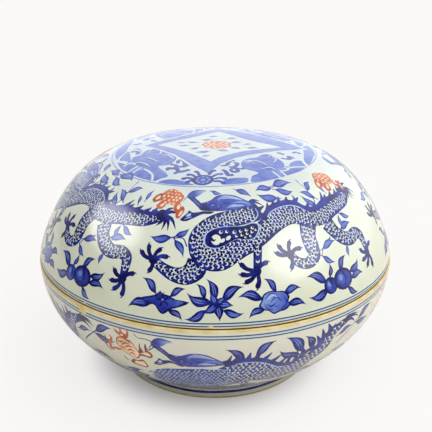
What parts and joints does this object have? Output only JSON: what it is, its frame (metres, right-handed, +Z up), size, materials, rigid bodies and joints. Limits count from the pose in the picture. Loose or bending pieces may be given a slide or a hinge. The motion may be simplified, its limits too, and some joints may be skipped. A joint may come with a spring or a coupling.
{
  "type": "porcelain box",
  "caption": "Round lidded porcelain box: a footed bowl with a bare ledge and an upright flange, and a loose domed cover that lifts straight off; blue and red painted under a clear glaze.",
  "frame": {"origin": "centre of the foot ring's underside, on the turning axis", "axes": "+Z up along the turning axis, out of the mouth; -Y is the side the picture shows"},
  "size_m": [0.342, 0.342, 0.2149],
  "materials": {
    "bowl_porcelain": "gloss",
    "cover_porcelain": "gloss"
  },
  "bodies": {
    "bowl": {"bowl": "bowl_porcelain"},
    "cover": {"cover": "cover_porcelain"}
  },
  "joints": [
    {"name": "cover_lift", "type": "slide", "parent": "bowl", "child": "cover", "axis": [0, 0, 1], "range_m": [0, 0.16]}
  ]
}
